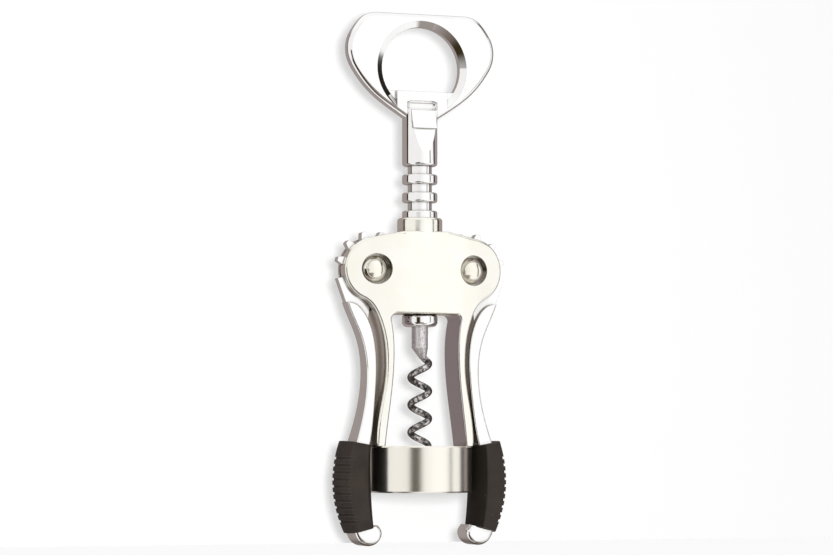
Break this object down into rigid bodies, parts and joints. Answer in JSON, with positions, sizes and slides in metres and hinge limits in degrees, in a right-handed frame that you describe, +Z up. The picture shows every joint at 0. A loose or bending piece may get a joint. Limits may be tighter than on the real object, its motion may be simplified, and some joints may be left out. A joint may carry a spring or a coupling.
{
  "type": "wing corkscrew",
  "caption": "Double-lever corkscrew: gear-ended levers drive a round-toothed rack, a looped handle with a cap lifter turns the worm, and a bell ring seats on the bottle.",
  "frame": {"origin": "on the screw's axis, at the mouth of the bell ring that sits on the bottle", "axes": "+Z up along the screw's axis towards the handle, front towards -Y, levers left and right along X"},
  "size_m": [0.0622, 0.0356, 0.1834],
  "materials": {
    "satin_nickel": "satin nickel plate on a zinc casting",
    "brushed_nickel": "turned and brushed round the axis",
    "bright_chrome": "bright chrome plate on zinc castings and steel rivets",
    "black_rubber": "matt moulded rubber with ribs",
    "dark_steel": "dark forged steel with a mottled surface"
  },
  "bodies": {
    "frame": {"frame_casting": "satin_nickel", "bell_ring": "brushed_nickel", "left_pivot_rivet": "bright_chrome", "left_rivet_socket": "bright_chrome", "right_pivot_rivet": "bright_chrome", "right_rivet_socket": "bright_chrome"},
    "left_lever": {"left_lever": "bright_chrome", "left_grip": "black_rubber"},
    "right_lever": {"right_lever": "bright_chrome", "right_grip": "black_rubber"},
    "rack": {"rack_sleeve": "bright_chrome"},
    "screw": {"handle": "bright_chrome", "spindle": "dark_steel", "worm_hub": "bright_chrome", "worm": "dark_steel"}
  },
  "joints": [
    {"name": "left_lever_swing", "type": "hinge", "parent": "frame", "child": "left_lever", "pos_m": [-0.01775, 0, 0.0764], "axis": [0, 1, 0], "range_deg": [0, 145]},
    {"name": "right_lever_swing", "type": "hinge", "parent": "frame", "child": "right_lever", "pos_m": [0.01775, 0, 0.0764], "axis": [0, -1, 0], "range_deg": [0, 145]},
    {"name": "rack_slide", "type": "slide", "parent": "frame", "child": "rack", "axis": [0, 0, -1], "range_m": [0, 0.0304]},
    {"name": "handle_spin", "type": "hinge", "parent": "rack", "child": "screw", "pos_m": [0, 0, 0.12], "axis": [0, 0, 1], "continuous": true}
  ],
  "couplings": [
    {"joint": "right_lever_swing", "follows": "left_lever_swing", "ratio": 1},
    {"joint": "rack_slide", "follows": "left_lever_swing", "m_per_rad": 0.012}
  ]
}
